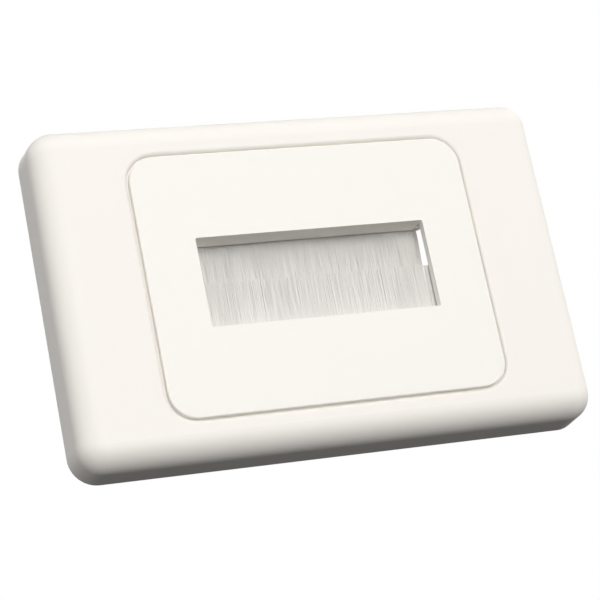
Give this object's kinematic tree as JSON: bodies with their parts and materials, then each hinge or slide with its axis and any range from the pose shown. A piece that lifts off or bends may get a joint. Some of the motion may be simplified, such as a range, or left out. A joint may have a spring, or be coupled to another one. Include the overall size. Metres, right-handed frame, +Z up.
{
  "type": "brush cable grommet",
  "caption": "Clip-on rectangular wall plate with round shoulders and a raised panel, whose wide slot is closed by two facing rows of bristles that cables pass between.",
  "frame": {"origin": "middle of the plate in the wall plane, halfway between the two mounting slots", "axes": "+X across the plate to the right as seen from the front, -Y out of the wall towards the viewer, +Z up"},
  "size_m": [0.116, 0.0116, 0.075],
  "materials": {
    "cover": "smooth moulded, light gloss",
    "base": "smooth moulded, light gloss",
    "bar": "smooth moulded",
    "bristle": "fine nylon filament",
    "channel": "rolled galvanised strip",
    "wire": "drawn wire",
    "screw": "bright zinc"
  },
  "bodies": {
    "root": {"surround": "cover", "grid_plate": "base", "lower_channel": "channel", "lower_core_wire": "wire", "lower_bristles": "bristle", "lower_clamp_bar": "bar", "lower_left_screw": "screw", "lower_right_screw": "screw", "upper_channel": "channel", "upper_core_wire": "wire", "upper_bristles": "bristle", "upper_clamp_bar": "bar", "upper_left_screw": "screw", "upper_right_screw": "screw"}
  },
  "joints": []
}
